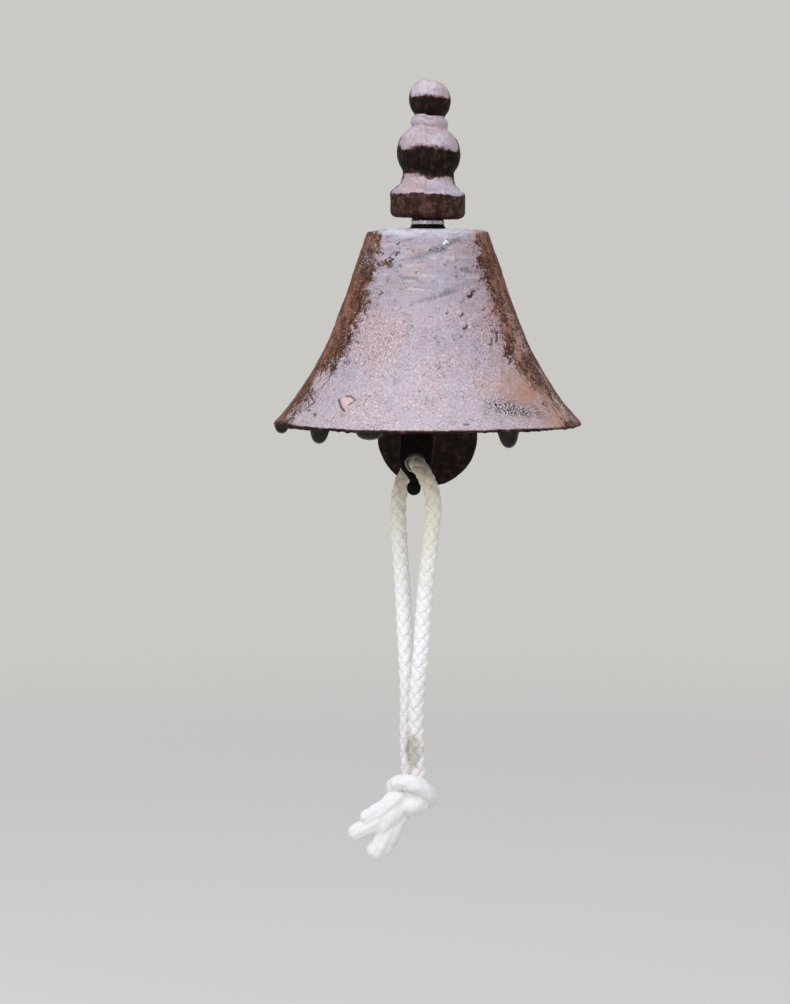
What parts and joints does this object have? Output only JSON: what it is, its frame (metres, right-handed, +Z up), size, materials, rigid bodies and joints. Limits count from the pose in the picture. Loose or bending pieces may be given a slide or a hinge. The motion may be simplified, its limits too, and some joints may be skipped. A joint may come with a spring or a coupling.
{
  "type": "doorbell",
  "caption": "Cast iron wall bell on an upswept bracket with a cast finial, rung by a clapper that hangs from a link and is pulled with a loop of white cotton cord tied in a knot",
  "frame": {"origin": "on the wall face of the plate, midway between the two wall screw holes", "axes": "+X to the right for someone who faces the bell, +Y into the wall, +Z up"},
  "size_m": [0.1104, 0.1352, 0.2809],
  "materials": {
    "bracket_iron": "rough casting, dark brown clear-coated rust",
    "bell_iron": "finely pitted casting, glossy lacquered rust",
    "hardware_steel": "dull steel",
    "clapper_iron": "dark casting",
    "cord_cotton": "soft plaited cotton"
  },
  "bodies": {
    "fixed": {"wall_bracket": "bracket_iron", "bell": "bell_iron", "crown_washer": "hardware_steel", "eye_bolt": "hardware_steel", "inner_washer": "hardware_steel", "hex_nut": "hardware_steel"},
    "link": {"hanging_link": "hardware_steel"},
    "clapper": {"clapper": "clapper_iron"},
    "cord": {"pull_cord": "cord_cotton", "cord_knot": "cord_cotton"}
  },
  "joints": [
    {"name": "link_swing", "type": "hinge", "parent": "fixed", "child": "link", "pos_m": [-0.0031, -0.08, 0.0325], "axis": [0, 1, 0], "range_deg": [-44, 34]},
    {"name": "clapper_swing", "type": "hinge", "parent": "link", "child": "clapper", "pos_m": [-0.0031, -0.08, 0.0245], "axis": [1, 0, 0], "range_deg": [-16, 16]},
    {"name": "cord_swing", "type": "hinge", "parent": "clapper", "child": "cord", "pos_m": [-0.00433, -0.08, -0.02706], "axis": [0, 1, 0], "range_deg": [-34, 44]}
  ],
  "couplings": [
    {"joint": "cord_swing", "follows": "link_swing", "ratio": -1}
  ]
}
